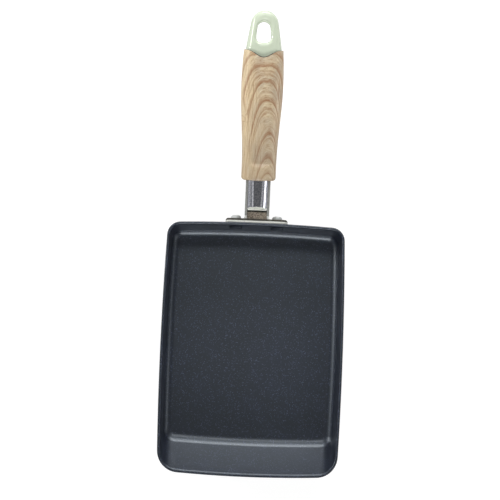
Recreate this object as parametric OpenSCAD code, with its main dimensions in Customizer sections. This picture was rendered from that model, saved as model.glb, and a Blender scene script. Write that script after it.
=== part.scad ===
// Rectangular rolled-omelette pan: a pressed, coated pan with one sloping end wall,
// a riveted sheet-steel bracket and a moulded grip held on it by one long screw.
// Millimetres. The origin is the centre of the flat underside, +Z is up, +Y is the handle side.

/* [Pan] */
// Width over the rim at the corners
pan_w = 132.6; // [110:0.1:160]
// Length over the rim at the corners
pan_l = 185.9; // [160:0.1:220]
// Height of the rim above the surface that the pan stands on
pan_h = 32.6; // [28:0.1:45]
// How far each long side swells in the middle
side_bow = 1.2; // [0:0.1:2]
// How far each short side swells in the middle
end_bow = 1.35; // [0:0.05:2]
// Thickness of the floor
floor_t = 2.6; // [2:0.1:4]
// Thickness of the walls
wall_t = 2; // [1.6:0.1:3]
// Lean of the long walls from upright
side_lean = 2; // [1:0.5:6]
// Lean of the handle-end wall from upright
back_lean = 2; // [1:0.5:6]
// Lean of the sloping wall that the omelette is rolled out over
front_lean = 35; // [15:1:40]
// Corner radius of the rim at the handle end
back_corner_r = 10.2; // [9:0.1:14]
// Corner radius of the rim at the sloping end
front_corner_r = 16.1; // [10:0.1:20]
// Inside radius between the floor and the steep walls
floor_r = 6; // [4:0.5:8]
// Inside radius between the floor and the sloping wall
front_floor_r = 8; // [6:0.5:10]
// Radius that rounds both edges of the rim
rim_r = 0.85; // [0.3:0.05:0.95]

/* [Bracket] */
// Slope of the handle above the horizontal
handle_slope = 15; // [8:1:20]
// Height of the rivets above the underside
rivet_z = 22; // [18:0.5:23]
// Distance between the two rivets
rivet_gap = 31; // [30:0.5:34]
// Thickness of the backing plate on the wall
plate_t = 1.5; // [0.8:0.1:1.8]
// Thickness of the bracket's sheet
sheet_t = 1.8; // [1.4:0.1:2]
// Width across the bracket's two ears
ears_w = 46.4; // [44:0.2:50]
// Height of the ears and of the backing plate
ears_h = 15; // [14:0.5:16]
// Inside width of the channel
channel_w = 14.8; // [14:0.1:16]
// Inside radius of the bend from the channel into the ears
ear_bend_r = 1.6; // [1:0.1:2]
// How far the channel runs along the handle
channel_l = 45; // [39:1:47]

/* [Sleeve] */
// Height of the sleeve's crown above the handle axis
crown_h = 8.6; // [8:0.1:9]
// Radius of the sleeve's crown
crown_r = 9.2; // [8.6:0.1:10]
// Thickness of the sleeve's wall
sleeve_t = 0.9; // [0.6:0.1:1.2]
// Where the sleeve starts along the handle
sleeve_start = 10.1; // [9.5:0.1:11]
// Where the sleeve ends inside the grip
sleeve_end = 49; // [47:0.5:52]

/* [Grip] */
// Where the grip starts along the handle
grip_start = 32.9; // [31:0.1:36]
// Where the grip meets the loop at the sides
grip_end = 129; // [126:0.1:134]
// Width of the grip at the pan end
grip_neck_w = 25.5; // [24:0.1:28]
// Largest width of the grip
grip_max_w = 30.6; // [28:0.1:33]
// Depth of the thumb notch on top of the grip
thumb_dip = 1.3; // [0:0.1:2]
// Depth of the wave where the loop meets the grip
wave_depth = 5.2; // [3:0.1:6]

/* [Loop] */
// Where the loop ends along the handle
loop_end = 158.2; // [155:0.1:164]
// Radius of the loop's round end
loop_r = 10.2; // [9.5:0.1:11]
// Taper of each of the loop's sides
loop_taper = 9.8; // [7:0.1:12]
// Radius of the hanging slot's outer end
slot_r = 4.7; // [3.6:0.1:5]
// Radius that rounds the slot's lips
lip_r = 2; // [1:0.1:2.4]

/* [Screw] */
// Diameter of the long screw
screw_d = 5; // [4:0.5:6]
// Where the screw's seat lies inside the grip
seat_at = 106; // [100:1:108]

/* [Hidden] */
$fn = 48;
slack = 0.5;
far = 80;

// Points of one ring round the pan, for each straight side and each corner
side_steps = 6;
corner_steps = 8;
front_steps = 7;
// The handle-end wall stays flat between its middle stations, where the bracket seats
back_stations = [0, 0.16, 0.34, 0.66, 0.84];
front_foot_r = 9;
back_foot_r = 8.5;
smallest_corner_r = 1.5;
outer_floor_r = floor_r + wall_t + 0.3;
outer_front_r = front_floor_r + wall_t + 0.3;
fillet_angles = [0, 11, 22, 33, 44, 56, 68, 80];
rim_angles = [0, 30, 60, 90];

channel_out = channel_w / 2 + sheet_t;
channel_floor = -6.5;
channel_top = 5;
channel_corner_r = 1.2;
rivet_d = 5;
inner_head_d = 9.7;
inner_head_t = 1.2;
outer_head_d = 7.6;
outer_head_t = 3.2;
outer_dome_r = 5.5;
coated = "#23272e";
steel = "#8d8f90";

function lerp(a, b, t) = a + (b - a) * t;
function clamp01(t) = min(1, max(0, t));
function ease(t) = let (s = clamp01(t)) s * s * (3 - 2 * s);
function bowed(t, rise) = rise * 4 * t * (1 - t);

// How far a wall that leans by a degrees lies inside the rim's edge at height z. The wall
// ends in an arc of radius r that lands on a floor at height base.
function wall_line(z, a) = (pan_h - z) * tan(a);
function wall_inset(z, a, r, base) =
    z >= base + r * (1 - sin(a)) ? wall_line(z, a)
    : wall_line(base + r, a) + r / cos(a) - sqrt(max(0, r * r - pow(base + r - z, 2)));

// One closed ring of the pan, anticlockwise from above. The insets are for the long sides,
// the handle end and the sloping end, and shrink is what the corners lose to the floor's arc.
function corner_at(z, rim, foot, less) =
    max(smallest_corner_r, lerp(foot, rim, z / pan_h) - less);
function pan_ring(z, side, back, front, rb, rf) =
    let (a = pan_w / 2 - side, b = pan_l / 2 - back, f = front - pan_l / 2)
    [for (p = concat(
        [for (i = [0 : side_steps - 1]) let (t = i / side_steps)
            [a + bowed(t, side_bow), lerp(f + rf, b - rb, t)]],
        [for (i = [0 : corner_steps - 1]) let (q = 90 * i / corner_steps)
            [a - rb + rb * cos(q), b - rb + rb * sin(q)]],
        [for (t = back_stations) [lerp(a - rb, rb - a, t), b + bowed(t, end_bow)]],
        [for (i = [0 : corner_steps - 1]) let (q = 90 * i / corner_steps)
            [rb - a - rb * sin(q), b - rb + rb * cos(q)]],
        [for (i = [0 : side_steps - 1]) let (t = i / side_steps)
            [-a - bowed(t, side_bow), lerp(b - rb, f + rf, t)]],
        [for (i = [0 : corner_steps - 1]) let (q = 90 * i / corner_steps)
            [rf - a - rf * cos(q), f + rf - rf * sin(q)]],
        [for (i = [0 : front_steps - 1]) let (t = i / front_steps)
            [lerp(rf - a, a - rf, t), f - bowed(t, end_bow)]],
        [for (i = [0 : corner_steps - 1]) let (q = 90 * i / corner_steps)
            [a - rf + rf * sin(q), f + rf - rf * cos(q)]]))
        [p[0], p[1] + pan_y, z]];

function outer_ring(z) =
    let (side = wall_inset(z, side_lean, outer_floor_r, 0),
         back = wall_inset(z, back_lean, outer_floor_r, 0),
         front = wall_inset(z, front_lean, outer_front_r, 0),
         less = side - wall_line(z, side_lean))
    pan_ring(z, side, back, front, corner_at(z, back_corner_r, back_foot_r, less),
             corner_at(z, front_corner_r, front_foot_r, less));
function inner_ring(z) =
    let (side = wall_inset(z, side_lean, floor_r, floor_t),
         less = side - wall_line(z, side_lean) + wall_t)
    pan_ring(z, side + wall_t / cos(side_lean),
             wall_inset(z, back_lean, floor_r, floor_t) + wall_t / cos(back_lean),
             wall_inset(z, front_lean, front_floor_r, floor_t) + wall_t / cos(front_lean),
             corner_at(z, back_corner_r, back_foot_r, less),
             corner_at(z, front_corner_r, front_foot_r, less));
// A ring of the rounded rim, at angle q up its outer or its inner edge
function rim_ring(q, inside) =
    let (z = pan_h - rim_r * (1 - sin(q)), in = rim_r * (1 - cos(q)),
         s = inside ? -1 : 1, w = inside ? wall_t : 0)
    pan_ring(z, wall_line(z, side_lean) + w / cos(side_lean) + s * in,
             wall_line(z, back_lean) + w / cos(back_lean) + s * in,
             wall_line(z, front_lean) + w / cos(front_lean) + s * in,
             corner_at(z, back_corner_r, back_foot_r, w + s * in),
             corner_at(z, front_corner_r, front_foot_r, w + s * in));

// The rim's centre lies behind the origin, which is the centre of the flat underside
flat_back = pan_l / 2 + end_bow - wall_inset(0, back_lean, outer_floor_r, 0);
flat_front = pan_l / 2 + end_bow - wall_inset(0, front_lean, outer_front_r, 0);
pan_y = (flat_front - flat_back) / 2;
wall_y = pan_y + pan_l / 2 + bowed(back_stations[2], end_bow) - wall_line(rivet_z, back_lean);

// A closed solid through rings of equal length, each anticlockwise when seen from the next
module loft(rings) {
    n = len(rings[0]);
    last = len(rings) - 1;
    polyhedron(
        points = [for (ring = rings) each ring],
        faces = concat(
            [[for (i = [0 : n - 1]) i]],
            [for (k = [0 : last - 1], i = [0 : n - 1]) let (j = (i + 1) % n)
                [k * n + i, (k + 1) * n + i, (k + 1) * n + j, k * n + j]],
            [[for (i = [n - 1 : -1 : 0]) last * n + i]]));
}

// Frames: the handle-end wall's outer face at the rivets, with +Y out of the wall, and the
// handle's axis, with +Y along it and its origin on the backing plate
module on_wall() {
    translate([0, wall_y, rivet_z]) rotate([-back_lean, 0, 0]) children();
}
module on_handle() {
    translate([0, wall_y + plate_t, rivet_z]) rotate([handle_slope, 0, 0]) children();
}
// A round bar along +Y between two places
module along(from, to, d1, d2) {
    translate([0, from, 0]) rotate([-90, 0, 0])
        cylinder(h = to - from, d1 = d1, d2 = is_undef(d2) ? d1 : d2);
}
// A section drawn in X and Z, extruded along +Y between two places
module extrude_along(from, to) {
    translate([0, to, 0]) rotate([90, 0, 0]) linear_extrude(to - from) children();
}
module at_rivets() {
    for (s = [-1, 1]) translate([s * rivet_gap / 2, 0, 0]) children();
}

module pan_body() {
    color(coated) difference() {
        loft(concat(
            [for (q = fillet_angles) outer_ring(outer_floor_r * (1 - cos(q)))],
            [for (q = rim_angles) rim_ring(q, false)],
            [for (k = [len(rim_angles) - 1 : -1 : 0]) rim_ring(rim_angles[k], true)],
            [for (k = [len(fillet_angles) - 1 : -1 : 0])
                inner_ring(floor_t + floor_r * (1 - cos(fillet_angles[k])))]));
        on_wall() at_rivets() along(-wall_t - slack, slack, rivet_d);
    }
}

// A rectangle with its corners rounded, in exact circles and squares
module rounded_rect(w, h, r) {
    square([w - 2 * r, h], center = true);
    square([w, h - 2 * r], center = true);
    for (x = [-1, 1], y = [-1, 1]) translate([x * (w / 2 - r), y * (h / 2 - r)]) circle(r);
}

// The plate stands out a little below the ears and more above them, nearly up to the rim
module wall_plate() {
    plate_corner_r = 3;
    below = 0.5;
    above = 1.6;
    color("#c9ccc8") on_wall() difference() {
        extrude_along(0, plate_t) translate([0, (above - below) / 2])
            rounded_rect(ears_w, ears_h + above + below, plate_corner_r);
        at_rivets() along(-slack, plate_t + slack, rivet_d);
    }
}

// The sheet's plan on the +X side: half of the web between the ears, ear, bend and channel wall
module folded_plan(depth) {
    chamfer = 1.1;
    bend_x = channel_out + ear_bend_r;
    bend_y = sheet_t + ear_bend_r;
    translate([-slack, 0]) square([bend_x + slack, sheet_t]);
    polygon([[bend_x, 0], [ears_w / 2, 0], [ears_w / 2, sheet_t - chamfer],
             [ears_w / 2 - chamfer, sheet_t], [bend_x, sheet_t]]);
    translate([bend_x, bend_y]) intersection() {
        difference() {
            circle(bend_y);
            circle(ear_bend_r);
        }
        translate([-bend_y, -bend_y]) square(bend_y);
    }
    translate([channel_w / 2, bend_y]) square([sheet_t, depth - bend_y]);
}

// A section in X and Z with a flat top and rounded lower corners
module trough(half, low, top, r) {
    translate([-half, low + r]) square([2 * half, top - low - r]);
    translate([r - half, low]) square([2 * (half - r), top - low]);
    for (s = [-1, 1]) translate([s * (half - r), low + r]) circle(r);
}
// The outside of the channel, let out by more, and all that it holds, drawn in by less
module channel_outline(more) {
    trough(channel_out + more, channel_floor - sheet_t - more, channel_top + more,
           channel_corner_r + sheet_t + more);
}
module filling(top, less = 0) {
    trough(channel_w / 2 - less, channel_floor + less, top, channel_corner_r);
}

module bracket() {
    bottom_start = 4.5;
    fold_depth = 9;
    gusset_y = 5.2;
    ear_corner_r = 4;
    // The folded walls lie just within the channel's height, which they run into
    low = channel_floor - sheet_t + 1.2;
    high = channel_top - 0.2;
    // Heights of the channel's edges above the wall frame's origin, at a distance y from it
    function edge(w, y) = w / cos(handle_slope) + y * tan(handle_slope);
    color(steel) difference() {
        union() {
            on_wall() translate([0, plate_t, 0]) intersection() {
                translate([0, 0, -ears_h]) linear_extrude(2 * ears_h) {
                    folded_plan(fold_depth);
                    mirror([1, 0, 0]) folded_plan(fold_depth);
                }
                rotate([90, 0, 90]) translate([0, 0, -far / 2]) linear_extrude(far)
                    polygon([[-slack, -ears_h / 2], [sheet_t, -ears_h / 2],
                             [gusset_y, edge(low, gusset_y)],
                             [fold_depth, edge(low, fold_depth)],
                             [fold_depth, edge(high, fold_depth)],
                             [gusset_y, edge(high, gusset_y)],
                             [sheet_t, ears_h / 2], [-slack, ears_h / 2]]);
                extrude_along(-slack, far) rounded_rect(ears_w + 1, ears_h, ear_corner_r);
            }
            on_handle() extrude_along(bottom_start, channel_l) difference() {
                channel_outline(0);
                filling(channel_top + slack);
            }
        }
        on_wall() at_rivets() along(-slack, plate_t + sheet_t + slack, rivet_d);
    }
}

// One rivet along +Y: flat coated head inside the pan, shank, and domed head on the ear
module rivet() {
    grip_t = plate_t + sheet_t;
    edge_r = 0.5;
    along(-wall_t, grip_t, rivet_d);
    along(-wall_t - inner_head_t + edge_r, -wall_t, inner_head_d);
    along(-wall_t - inner_head_t, -wall_t - inner_head_t + edge_r, inner_head_d - 2 * edge_r, inner_head_d);
    intersection() {
        translate([0, grip_t + outer_head_t - outer_dome_r, 0]) sphere(outer_dome_r);
        along(grip_t, grip_t + outer_head_t + slack, outer_head_d);
    }
}
module rivet_left() {
    color("#c4c6c6") on_wall() translate([-rivet_gap / 2, 0, 0]) rivet();
}
module rivet_right() {
    color("#c4c6c6") on_wall() translate([rivet_gap / 2, 0, 0]) rivet();
}

// The block's upper edge comes up to the bracket's web
module screw_block() {
    block_start = 2.9;
    block_top = 3;
    color("#6d655c") on_handle() difference() {
        extrude_along(block_start, sleeve_start) filling(block_top);
        along(block_start - slack, sleeve_start + slack, screw_d);
    }
}

// The sleeve's outer form, or its hollow when less is the wall's thickness. Its pan end has
// a flat lip, and above the lip the crown is cut back on a slant.
module sleeve_form(less) {
    lip_h = 4.9;
    lip_l = 1.4;
    slant = 23;
    difference() {
        intersection() {
            extrude_along(sleeve_start + less, sleeve_end + (less > 0 ? slack : 0))
                filling(crown_h, less);
            along(sleeve_start - slack, sleeve_end + 1, 2 * far);
            translate([0, 0, crown_h - crown_r])
                along(sleeve_start - slack, sleeve_end + 1, 2 * (crown_r - less));
        }
        translate([0, sleeve_start + lip_l + less, lip_h - less]) rotate([-slant, 0, 0])
            translate([-far / 2, -far, 0]) cube([far, far, far]);
    }
}
module sleeve() {
    color("#b9bcc2") on_handle() difference() {
        sleeve_form(0);
        sleeve_form(sleeve_t);
        along(sleeve_start - slack, sleeve_start + sleeve_t + slack, screw_d + 0.4);
    }
}

// Half widths and half heights of the grip at a place u along the handle. It swells from the
// pan end and falls again towards the loop, and its top has the thumb notch with a crease.
grip_steps = 40;
swell_start = 47;
swell_l = 48;
swell_peak = 104;
side_fall = 1.26;
fall_start = 95;
fall_l = 38;
crease_at = 46.3;
notch_before = 6;
notch_after = 32;
function grip_half_w(u) =
    u < swell_peak ? lerp(grip_neck_w, grip_max_w, ease((u - swell_start) / (swell_peak - swell_start))) / 2
    : grip_max_w / 2 - side_fall * pow((u - swell_peak) / (grip_end - swell_peak), 2);
function notch(u) =
    u < crease_at ? thumb_dip * pow(clamp01(1 - (crease_at - u) / notch_before), 2)
    : thumb_dip * pow(clamp01(1 - (u - crease_at) / notch_after), 2);
function grip_h(u, start, swell, fall) =
    start + swell * ease((u - swell_start) / swell_l) - fall * pow(clamp01((u - fall_start) / fall_l), 2);
function grip_top(u) = grip_h(u, 10.5, 0.9, 2.1) - notch(u);
function grip_low(u) = grip_h(u, 10.2, 1.5, 2.6);
function power(v, n) = sign(v) * pow(abs(v), n);

// A ring round the handle's axis with squarish rounded sides; place(x) gives where each point
// lies along the axis
function handle_ring(w, top, low, n, at, wave = 0, end = 0) =
    [for (i = [0 : grip_steps - 1]) let (q = 360 * (i + 0.5) / grip_steps,
        x = w * power(sin(q), 2 / n), z = (cos(q) > 0 ? top : low) * power(cos(q), 2 / n))
        [x, lerp(at, wave_at(x) + end, wave), z]];
wave_w = 11.5;
function wave_at(x) = grip_end - (abs(x) < wave_w ? wave_depth * (1 + cos(180 * x / wave_w)) / 2 : 0);

grip_n = 2.5;
function grip_ring(u, less = 0, at = undef, wave = 0, end = 0) =
    handle_ring(grip_half_w(u) - less, grip_top(u) - less, grip_low(u) - less, grip_n,
                is_undef(at) ? u : at, wave, end);

module grip() {
    mouth_r = 2;
    shoulder_r = 1.2;
    plain_until = 114;
    play = 0.15;
    color("#c9b08f") on_handle() difference() {
        loft(concat(
            [for (q = [90, 67, 45, 22, 0])
                grip_ring(grip_start + mouth_r, mouth_r * (1 - cos(q)), grip_start + mouth_r * (1 - sin(q)))],
            [for (u = [38, 41, 43, 45, crease_at, 49, 53, 58, 63, 68, 73, 78, 83, 88, 93, 98, 103, 108, plain_until])
                grip_ring(u)],
            [for (t = [1 / 3, 2 / 3, 1])
                grip_ring(lerp(plain_until, grip_end - shoulder_r, t), 0,
                          lerp(plain_until, grip_end - shoulder_r, t), t, -shoulder_r)],
            [for (q = [30, 60, 90])
                grip_ring(grip_end, shoulder_r * (1 - cos(q)), grip_end, 1, -shoulder_r * (1 - sin(q)))]));
        // Pocket for the channel and the sleeve, bore for the screw and its counterbore
        extrude_along(grip_start - slack, channel_l + play) channel_outline(play);
        extrude_along(grip_start - slack, sleeve_end + play) intersection() {
            translate([0, crown_h - crown_r]) circle(crown_r + play);
            filling(crown_h + slack, -play);
        }
        along(sleeve_end - slack, seat_at + slack, screw_d + 0.6);
        along(seat_at, grip_end + slack, counterbore_d);
    }
}
counterbore_d = 10.8;

// The loop: straight tapering sides run into a round end, and its thickness falls to the end
loop_n = 2.6;
loop_centre = loop_end - loop_r;
loop_tangent = loop_centre + loop_r * sin(loop_taper);
loop_end_h = 5.2;
// Over this length, from just inside the grip, the loop thins to its end's height
thin_from = grip_end - 6;
thin_l = 26;
function loop_half_w(u) =
    u < loop_tangent ? loop_r * cos(loop_taper) + (loop_tangent - u) * tan(loop_taper)
    : sqrt(max(0, loop_r * loop_r - pow(u - loop_centre, 2)));
function loop_h(u, base_h) =
    let (body = lerp(base_h, loop_end_h, ease((u - thin_from) / thin_l)),
         t = clamp01((u - loop_end + loop_end_h) / loop_end_h))
    body * sqrt(max(0, 1 - t * t));
function loop_top(u) = loop_h(u, 8.6);
function loop_low(u) = loop_h(u, 8.2);
function loop_ring(u, wave = 0, end = 0) =
    handle_ring(loop_half_w(u), loop_top(u), loop_low(u), loop_n, u, wave, end);
// Height of the loop's face above or below the axis, over a point of the slot's edge
function loop_face(x, u, h) =
    h * pow(max(0, 1 - pow(min(1, abs(x) / loop_half_w(u)), loop_n)), 1 / loop_n);

// The hanging slot's outline, let out by more: a round outer end, and two corners towards the
// grip that stop short of straight down, as a shallow arc joins them
slot_l = 15.3;
slot_from_end = 8.6;
slot_low_r = 3.6;
slot_low_x = 1.8;
slot_top_at = loop_end - slot_from_end - slot_r;
slot_low_at = loop_end - slot_from_end - slot_l + slot_low_r;
bottom_lean = 8;
slot_steps = 8;
flank = let (d = norm([slot_low_x, slot_low_at - slot_top_at]))
    atan2(slot_low_at - slot_top_at, slot_low_x) + acos((slot_r - slot_low_r) / d);
function slot_outline(more) = concat(
    [for (i = [0 : slot_steps]) let (q = lerp(flank, 180 - flank, i / slot_steps))
        [(slot_r + more) * cos(q), slot_top_at + (slot_r + more) * sin(q)]],
    [for (i = [0 : slot_steps / 2]) let (q = lerp(180 - flank, 270 - bottom_lean, i * 2 / slot_steps))
        [-slot_low_x + (slot_low_r + more) * cos(q), slot_low_at + (slot_low_r + more) * sin(q)]],
    [for (i = [0 : slot_steps / 2]) let (q = lerp(270 + bottom_lean, 360 + flank, i * 2 / slot_steps))
        [slot_low_x + (slot_low_r + more) * cos(q), slot_low_at + (slot_low_r + more) * sin(q)]]);
function slot_ring(q, s) =
    [for (p = slot_outline(lip_r * (1 - cos(q))))
        let (h = s > 0 ? loop_top(p[1]) : loop_low(p[1]))
        [p[0], p[1], s * (loop_face(p[0], p[1], h) - lip_r * (1 - sin(q)))]];
function slot_cap(s) = [for (p = slot_outline(lip_r)) [p[0], p[1], s * far / 4]];

module loop_cap() {
    parting = 0.25;
    wave_end = grip_end + 4.3;
    lip_angles = [0, 22, 45, 67, 90];
    spigot_from = 113;
    color("#d5e2cb") on_handle() {
        difference() {
            loft(concat(
                [for (t = [1, 0.66, 0.33]) loop_ring(lerp(wave_end, grip_end, t), t, parting)],
                [for (u = [wave_end : 3.2 : loop_centre - 1.5]) loop_ring(u)],
                [for (q = [loop_taper, 20, 30, 39, 47, 55, 62, 68, 73, 78, 82, 85.5])
                    loop_ring(loop_centre + loop_r * sin(q))]));
            loft(concat([slot_cap(-1)],
                [for (k = [len(lip_angles) - 1 : -1 : 0]) slot_ring(lip_angles[k], -1)],
                [for (q = lip_angles) slot_ring(q, 1)], [slot_cap(1)]));
        }
        along(spigot_from, grip_end, counterbore_d - 0.2);
    }
}

washer_t = 1;
spring_t = 1.3;
head_at = seat_at + washer_t + spring_t;
module handle_screw() {
    head_d = 9.4;
    head_t = 3.2;
    tip = 3.2;
    driver_w = 1;
    driver_l = 5.2;
    color("#a9abad") on_handle() difference() {
        union() {
            along(tip, tip + 1, screw_d - 1.2, screw_d);
            along(tip + 1, head_at + slack, screw_d);
            intersection() {
                along(head_at, head_at + head_t, head_d);
                translate([0, head_at + head_t - head_d, 0]) sphere(head_d);
            }
        }
        for (a = [0, 90]) translate([0, head_at + head_t, 0]) rotate([0, a, 0])
            cube([driver_l, 3.6, driver_w], center = true);
    }
}
module flat_washer() {
    color("#b4b6b7") on_handle() difference() {
        along(seat_at, seat_at + washer_t, 10);
        along(seat_at - slack, seat_at + washer_t + slack, screw_d + 0.3);
    }
}
module spring_washer() {
    split = 1;
    color("#9a9c9e") on_handle() difference() {
        along(seat_at + washer_t, head_at, 9.2);
        along(seat_at, head_at + slack, screw_d + 0.2);
        translate([-split / 2, seat_at, 0]) cube([split, 2 * washer_t + spring_t, screw_d * 2]);
    }
}

pan_body();
wall_plate();
bracket();
rivet_left();
rivet_right();
screw_block();
sleeve();
grip();
loop_cap();
handle_screw();
flat_washer();
spring_washer();
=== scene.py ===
# Rolled-omelette pan with a wood-look grip, seen from almost straight above
import math
import bmesh
import bpy
from mathutils import Matrix, Vector


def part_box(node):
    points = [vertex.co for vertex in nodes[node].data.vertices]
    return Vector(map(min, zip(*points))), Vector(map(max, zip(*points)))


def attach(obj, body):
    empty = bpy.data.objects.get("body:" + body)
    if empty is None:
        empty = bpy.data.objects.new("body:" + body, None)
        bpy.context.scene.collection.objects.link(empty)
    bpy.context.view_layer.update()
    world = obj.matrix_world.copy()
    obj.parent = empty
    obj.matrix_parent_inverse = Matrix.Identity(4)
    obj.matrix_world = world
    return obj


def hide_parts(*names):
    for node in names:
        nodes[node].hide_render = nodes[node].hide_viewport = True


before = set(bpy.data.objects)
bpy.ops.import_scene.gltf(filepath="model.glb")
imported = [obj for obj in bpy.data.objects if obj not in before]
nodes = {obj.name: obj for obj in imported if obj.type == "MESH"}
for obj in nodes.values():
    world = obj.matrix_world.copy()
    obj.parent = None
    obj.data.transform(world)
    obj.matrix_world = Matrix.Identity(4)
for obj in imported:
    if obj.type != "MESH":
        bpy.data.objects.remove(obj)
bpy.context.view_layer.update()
mm = 0.001

# Camera: a long lens above the sloping end, with the handle up in the picture
cameraSet = {
    "place": (-10.3, -54.17, 1047.4),   # mm, from the centre of the pan's underside
    "tilt": -6.63,                      # degrees
    "roll": -2.31,
    "yaw": 0.35,
    "lens": 98.93,
    "sensor": 36.0,
}


def makeCamera():
    s = cameraSet
    data = bpy.data.cameras.new("camera")
    data.lens = s["lens"]
    data.sensor_width = s["sensor"]
    data.clip_start = 0.05
    data.clip_end = 20
    camera = bpy.data.objects.new("camera", data)
    bpy.context.collection.objects.link(camera)
    turn = (Matrix.Rotation(math.radians(s["roll"]), 3, "Z") @ Matrix.Rotation(math.radians(s["tilt"]), 3, "X")
            @ Matrix.Rotation(math.radians(s["yaw"]), 3, "Y"))
    camera.matrix_world = Matrix.Translation(Vector(s["place"]) * mm) @ turn.transposed().to_4x4()
    bpy.context.scene.camera = camera


makeCamera()
bpy.context.scene.view_settings.view_transform = 'Standard'
print("camera set")


# Material helpers

def linear(hexColour):
    parts = [int(hexColour[i:i + 2], 16) / 255 for i in (1, 3, 5)]
    return tuple(v / 12.92 if v <= 0.04045 else ((v + 0.055) / 1.055) ** 2.4 for v in parts) + (1,)


def addNode(tree, kind, settings=None, links=None):
    # A setting goes to the node's property of that name, or else to the socket of its name or number
    node = tree.nodes.new(kind)
    for key, value in (settings or {}).items():
        if isinstance(key, str) and hasattr(node, key):
            setattr(node, key, value)
    for key, value in (settings or {}).items():
        if not isinstance(key, str) or not hasattr(node, key):
            node.inputs[key].default_value = value
    for key, source in (links or {}).items():
        tree.links.new(source, node.inputs[key])
    return node


def newMaterial(name, settings):
    material = bpy.data.materials.new(name)
    material.use_nodes = True
    tree = material.node_tree
    shader = tree.nodes["Principled BSDF"]
    for key, value in settings.items():
        shader.inputs[key].default_value = value
    place = addNode(tree, "ShaderNodeTexCoord").outputs["Object"]
    return material, tree, shader, place


def ramp(tree, source, stops):
    node = addNode(tree, "ShaderNodeValToRGB", links={"Fac": source})
    while len(node.color_ramp.elements) < len(stops):
        node.color_ramp.elements.new(0.5)
    for element, (position, colour) in zip(node.color_ramp.elements, stops):
        element.position = position
        element.color = linear(colour) if isinstance(colour, str) else (colour, colour, colour, 1)
    return node.outputs["Color"]


def calc(tree, operation, *values):
    node = addNode(tree, "ShaderNodeMath", {"operation": operation})
    for i, value in enumerate(values):
        if isinstance(value, (int, float)):
            node.inputs[i].default_value = value
        else:
            tree.links.new(value, node.inputs[i])
    return node.outputs[0]


def remap(tree, source, low, high, toLow=0.0, toHigh=1.0):
    return addNode(tree, "ShaderNodeMapRange", {1: low, 2: high, 3: toLow, 4: toHigh}, {0: source}).outputs[0]


def noise(tree, place, sizeMm, detail=2.0, roughness=0.5):
    return addNode(tree, "ShaderNodeTexNoise", {"Scale": 1 / (sizeMm * mm), "Detail": detail, "Roughness": roughness},
                   {"Vector": place}).outputs["Fac"]


def stretched(tree, first, firstMm, second, secondMm, detail=3.0, roughness=0.6):
    # Noise over two coordinates in mm, with a grain size in mm along each
    vector = addNode(tree, "ShaderNodeCombineXYZ", links={0: calc(tree, "DIVIDE", first, firstMm),
                                                          1: calc(tree, "DIVIDE", second, secondMm)}).outputs[0]
    return addNode(tree, "ShaderNodeTexNoise", {"Scale": 1.0, "Detail": detail, "Roughness": roughness},
                   {"Vector": vector}).outputs["Fac"]


def blendColours(tree, factor, first, second, blend="MIX"):
    node = addNode(tree, "ShaderNodeMix", {"data_type": "RGBA", "blend_type": blend})
    for number, value in ((0, factor), (6, first), (7, second)):
        if isinstance(value, (int, float, tuple)):
            node.inputs[number].default_value = value
        else:
            tree.links.new(value, node.inputs[number])
    return node.outputs[2]


def addBump(tree, shader, height, distance, strength=1.0):
    node = addNode(tree, "ShaderNodeBump", {"Strength": strength, "Distance": distance}, {"Height": height})
    tree.links.new(node.outputs["Normal"], shader.inputs["Normal"])


# Materials

coatingSet = {
    "deep": "#13161f",
    "light": "#181c29",
    "flake": "#687494",
    "flakeSize": 0.7,       # mm; real flake is finer, so it is drawn about one picture dot wide
    "flakeShare": 0.3,
    "roughness": 0.4,
    "tint": "#dcebf8",
    "ior": 1.72,            # high, as metal flake lies just under the surface
    "sheen": 0.4,           # share and roughness of the clear top coat
    "sheenRoughness": 0.28,
    "grain": 0.45,
}


def nonStickCoating():
    # Sprayed fluoropolymer over aluminium: a soft blue-black sheen with metal flake that glints
    s = coatingSet
    material, tree, shader, place = newMaterial("nonStickCoating", {
        "IOR": s["ior"], "Roughness": s["roughness"], "Coat Weight": s["sheen"], "Coat Roughness": s["sheenRoughness"],
        "Specular Tint": linear(s["tint"])})
    # The flake is painted into the base colour as lighter specks: partly its own light grey, partly painted glint
    flake = addNode(tree, "ShaderNodeTexVoronoi", {"Scale": 1 / (s["flakeSize"] * mm)}, {"Vector": place})
    which = addNode(tree, "ShaderNodeSeparateColor", links={"Color": flake.outputs["Color"]})
    chosen = remap(tree, which.outputs[0], 1 - s["flakeShare"], 1.0)
    spot = remap(tree, flake.outputs["Distance"], 0.15, 0.5, 1.0, 0.0)
    glint = calc(tree, "MULTIPLY", chosen, spot)
    ground = ramp(tree, noise(tree, place, 14, 3), ((0.3, s["deep"]), (0.7, s["light"])))
    tree.links.new(blendColours(tree, glint, ground, linear(s["flake"])), shader.inputs["Base Color"])
    height = calc(tree, "ADD", noise(tree, place, s["grain"], 2), calc(tree, "MULTIPLY", chosen, 0.25))
    addBump(tree, shader, height, 0.02 * mm, 0.7)
    return material


def blackEnamel():
    # Baked heat-proof enamel on the outside and the rim, smoother than the coating
    material, tree, shader, place = newMaterial("blackEnamel", {"IOR": 1.42, "Roughness": 0.5})
    tone = ramp(tree, noise(tree, place, 9, 3), ((0.3, "#101114"), (0.7, "#16171a")))
    tree.links.new(tone, shader.inputs["Base Color"])
    addBump(tree, shader, noise(tree, place, 0.9, 3), 0.015 * mm, 0.6)
    return material


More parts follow.
